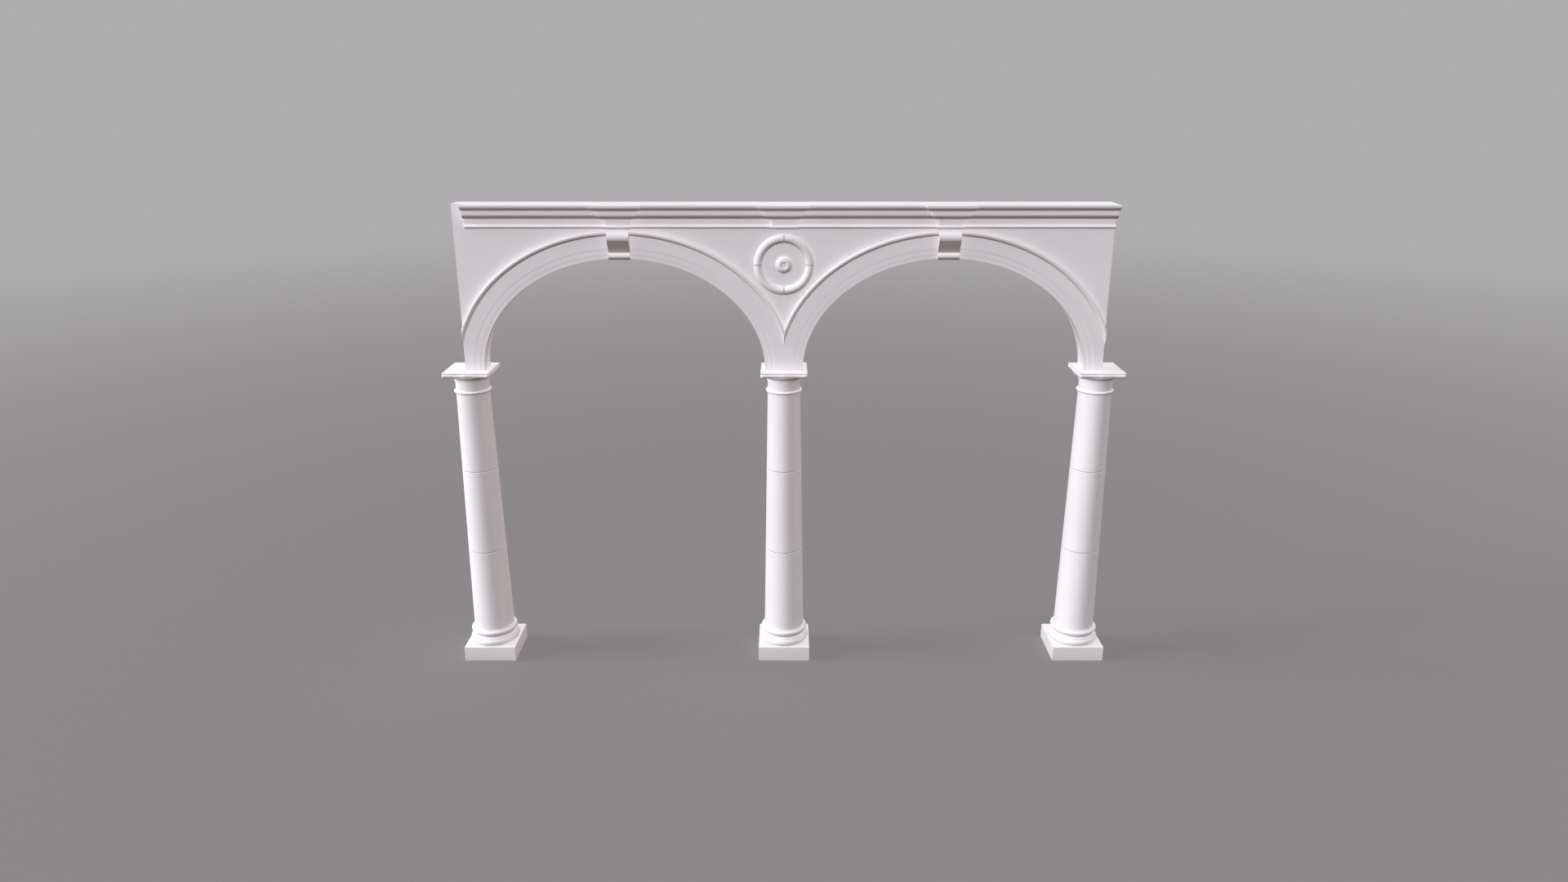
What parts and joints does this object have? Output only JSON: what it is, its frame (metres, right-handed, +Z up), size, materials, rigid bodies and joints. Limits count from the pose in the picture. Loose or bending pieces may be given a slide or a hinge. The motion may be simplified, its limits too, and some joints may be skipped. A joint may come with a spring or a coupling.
{
  "type": "arcade",
  "caption": "Free-standing arcade: round columns on square plinths carry wide half-oval arches with scroll keystones, a roundel and a moulded entablature.",
  "frame": {"origin": "on the ground under the axis of the centre column", "axes": "+X along the arcade to the right as seen from the front, +Y from the front to the back, +Z up"},
  "size_m": [6.514, 0.537, 4.5695],
  "materials": {
    "column_stone": "smooth matt pale stone",
    "arch_stone": "smooth matt pale stone",
    "wall_stone": "smooth matt pale stone",
    "entablature_stone": "smooth matt pale stone"
  },
  "bodies": {
    "root": {"centre_abacus": "column_stone", "centre_base": "column_stone", "centre_capital": "column_stone", "centre_lower_drum": "column_stone", "centre_middle_drum": "column_stone", "centre_plinth": "column_stone", "centre_spandrel": "wall_stone", "centre_springer": "arch_stone", "centre_upper_drum": "column_stone", "entablature_centre_break": "entablature_stone", "entablature_left_end": "entablature_stone", "entablature_left_inner_run": "entablature_stone", "entablature_left_key_break": "entablature_stone", "entablature_left_outer_run": "entablature_stone", "entablature_right_inner_run": "entablature_stone", "entablature_right_key_break": "entablature_stone", "entablature_right_outer_run": "entablature_stone", "left_abacus": "column_stone", "left_arch_left_archivolt": "arch_stone", "left_arch_right_archivolt": "arch_stone", "left_base": "column_stone", "left_capital": "column_stone", "left_keystone": "arch_stone", "left_lower_drum": "column_stone", "left_middle_drum": "column_stone", "left_plinth": "column_stone", "left_spandrel": "wall_stone", "left_springer": "arch_stone", "left_upper_drum": "column_stone", "right_abacus": "column_stone", "right_arch_left_archivolt": "arch_stone", "right_arch_right_archivolt": "arch_stone", "right_base": "column_stone", "right_capital": "column_stone", "right_keystone": "arch_stone", "right_lower_drum": "column_stone", "right_middle_drum": "column_stone", "right_plinth": "column_stone", "right_spandrel": "wall_stone", "right_springer": "arch_stone", "right_upper_drum": "column_stone", "roundel_boss": "arch_stone", "roundel_ring": "arch_stone"}
  },
  "joints": []
}
